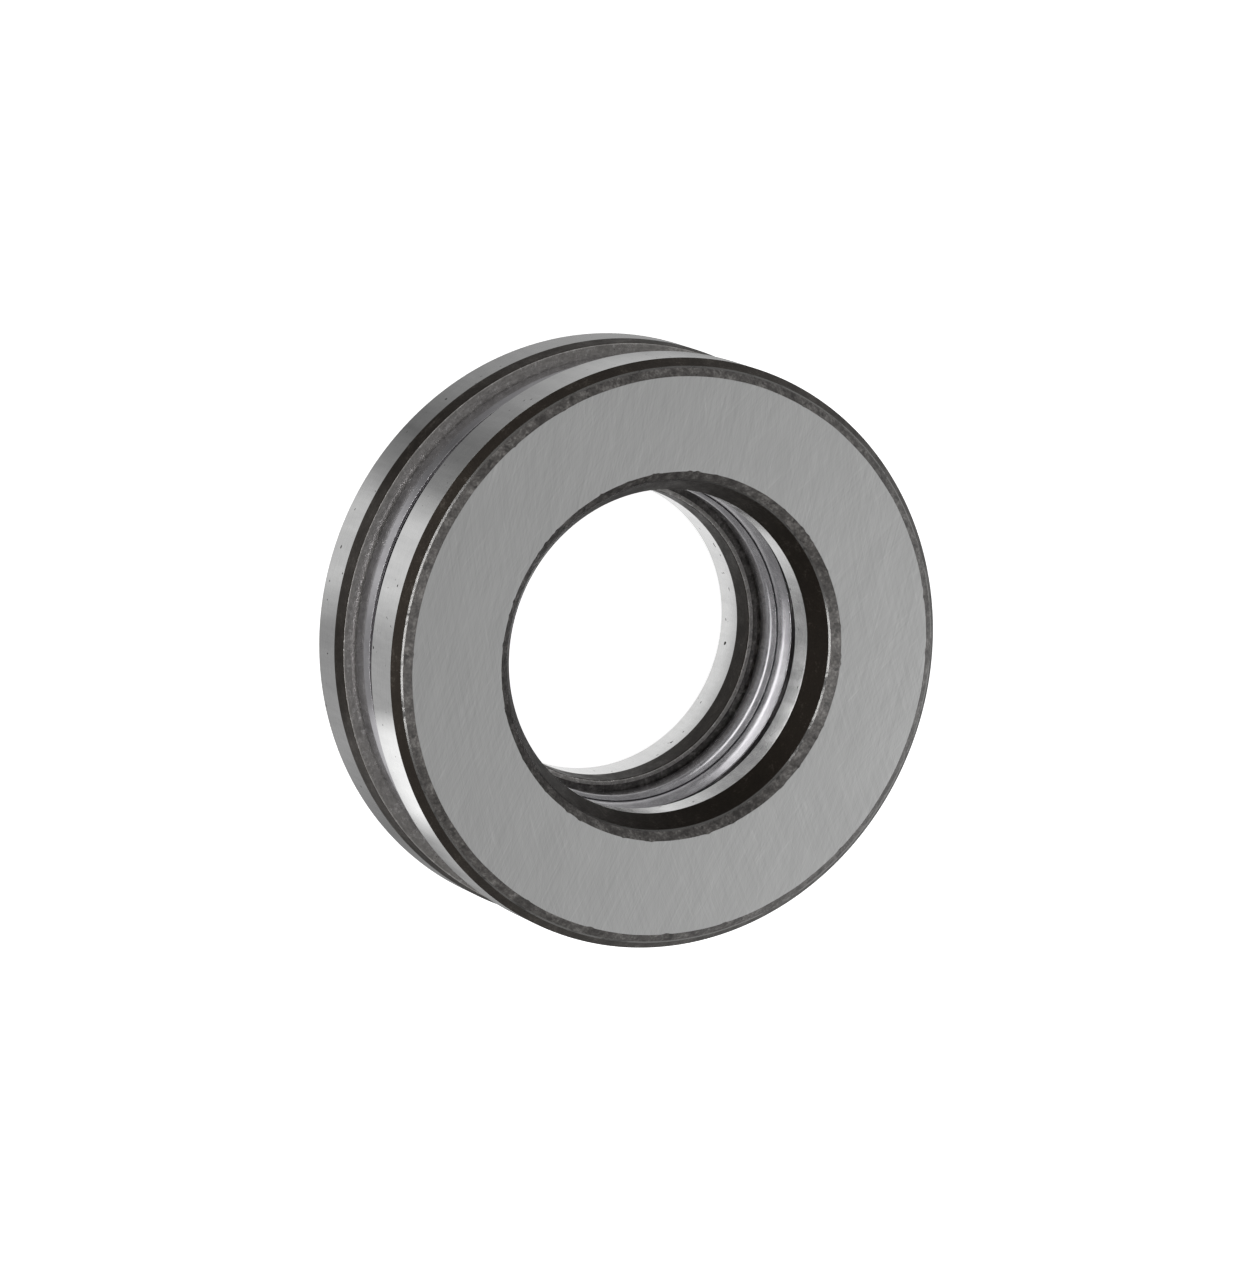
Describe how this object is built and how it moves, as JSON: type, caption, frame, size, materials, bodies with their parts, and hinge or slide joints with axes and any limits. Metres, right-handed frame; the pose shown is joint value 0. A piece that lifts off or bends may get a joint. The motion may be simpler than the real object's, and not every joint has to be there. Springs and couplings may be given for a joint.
{
  "type": "thrust ball bearing",
  "caption": "Single direction thrust ball bearing: two grooved steel washers with flat seats, and between them balls held in a two-piece pressed steel cage.",
  "frame": {"origin": "centre of the shaft washer's flat seat, on the bearing's axis", "axes": "+Z along the bearing's axis, from the shaft washer to the housing washer; +X from the axis to the first ball"},
  "size_m": [0.04, 0.04, 0.014],
  "materials": {
    "washer_steel": "ground bearing steel: cross-ground seats, ground rim and bore, dark heat-treated corners",
    "cage_steel": "pressed cold-rolled sheet, smooth satin",
    "ball_steel": "mirror-lapped"
  },
  "bodies": {
    "shaft_washer": {"shaft_washer": "washer_steel"},
    "housing_washer": {"housing_washer": "washer_steel"},
    "cage": {"cage_lower_shell": "cage_steel", "cage_upper_shell": "cage_steel"},
    "ball_01": {"ball_01": "ball_steel"},
    "ball_02": {"ball_02": "ball_steel"},
    "ball_03": {"ball_03": "ball_steel"},
    "ball_04": {"ball_04": "ball_steel"},
    "ball_05": {"ball_05": "ball_steel"},
    "ball_06": {"ball_06": "ball_steel"},
    "ball_07": {"ball_07": "ball_steel"},
    "ball_08": {"ball_08": "ball_steel"},
    "ball_09": {"ball_09": "ball_steel"},
    "ball_10": {"ball_10": "ball_steel"},
    "ball_11": {"ball_11": "ball_steel"},
    "ball_12": {"ball_12": "ball_steel"}
  },
  "joints": [
    {"name": "housing_washer_spin", "type": "hinge", "parent": "shaft_washer", "child": "housing_washer", "pos_m": [0, 0, 0.0117], "axis": [0, 0, 1], "continuous": true},
    {"name": "cage_orbit", "type": "hinge", "parent": "shaft_washer", "child": "cage", "pos_m": [0, 0, 0.007], "axis": [0, 0, 1], "continuous": true},
    {"name": "ball_01_roll", "type": "hinge", "parent": "cage", "child": "ball_01", "pos_m": [0.01495, 0, 0.007], "axis": [1, 0, 0], "continuous": true},
    {"name": "ball_02_roll", "type": "hinge", "parent": "cage", "child": "ball_02", "pos_m": [0.01295, 0.00747, 0.007], "axis": [0.866, 0.5, 0], "continuous": true},
    {"name": "ball_03_roll", "type": "hinge", "parent": "cage", "child": "ball_03", "pos_m": [0.00747, 0.01295, 0.007], "axis": [0.5, 0.866, 0], "continuous": true},
    {"name": "ball_04_roll", "type": "hinge", "parent": "cage", "child": "ball_04", "pos_m": [0, 0.01495, 0.007], "axis": [0, 1, 0], "continuous": true},
    {"name": "ball_05_roll", "type": "hinge", "parent": "cage", "child": "ball_05", "pos_m": [-0.00747, 0.01295, 0.007], "axis": [-0.5, 0.866, 0], "continuous": true},
    {"name": "ball_06_roll", "type": "hinge", "parent": "cage", "child": "ball_06", "pos_m": [-0.01295, 0.00747, 0.007], "axis": [-0.866, 0.5, 0], "continuous": true},
    {"name": "ball_07_roll", "type": "hinge", "parent": "cage", "child": "ball_07", "pos_m": [-0.01495, 0, 0.007], "axis": [-1, 0, 0], "continuous": true},
    {"name": "ball_08_roll", "type": "hinge", "parent": "cage", "child": "ball_08", "pos_m": [-0.01295, -0.00747, 0.007], "axis": [-0.866, -0.5, 0], "continuous": true},
    {"name": "ball_09_roll", "type": "hinge", "parent": "cage", "child": "ball_09", "pos_m": [-0.00747, -0.01295, 0.007], "axis": [-0.5, -0.866, 0], "continuous": true},
    {"name": "ball_10_roll", "type": "hinge", "parent": "cage", "child": "ball_10", "pos_m": [0, -0.01495, 0.007], "axis": [0, -1, 0], "continuous": true},
    {"name": "ball_11_roll", "type": "hinge", "parent": "cage", "child": "ball_11", "pos_m": [0.00747, -0.01295, 0.007], "axis": [0.5, -0.866, 0], "continuous": true},
    {"name": "ball_12_roll", "type": "hinge", "parent": "cage", "child": "ball_12", "pos_m": [0.01295, -0.00747, 0.007], "axis": [0.866, -0.5, 0], "continuous": true}
  ],
  "couplings": [
    {"joint": "cage_orbit", "follows": "housing_washer_spin", "ratio": 0.5},
    {"joint": "ball_01_roll", "follows": "housing_washer_spin", "ratio": -2.0927},
    {"joint": "ball_02_roll", "follows": "housing_washer_spin", "ratio": -2.0927},
    {"joint": "ball_03_roll", "follows": "housing_washer_spin", "ratio": -2.0927},
    {"joint": "ball_04_roll", "follows": "housing_washer_spin", "ratio": -2.0927},
    {"joint": "ball_05_roll", "follows": "housing_washer_spin", "ratio": -2.0927},
    {"joint": "ball_06_roll", "follows": "housing_washer_spin", "ratio": -2.0927},
    {"joint": "ball_07_roll", "follows": "housing_washer_spin", "ratio": -2.0927},
    {"joint": "ball_08_roll", "follows": "housing_washer_spin", "ratio": -2.0927},
    {"joint": "ball_09_roll", "follows": "housing_washer_spin", "ratio": -2.0927},
    {"joint": "ball_10_roll", "follows": "housing_washer_spin", "ratio": -2.0927},
    {"joint": "ball_11_roll", "follows": "housing_washer_spin", "ratio": -2.0927},
    {"joint": "ball_12_roll", "follows": "housing_washer_spin", "ratio": -2.0927}
  ]
}
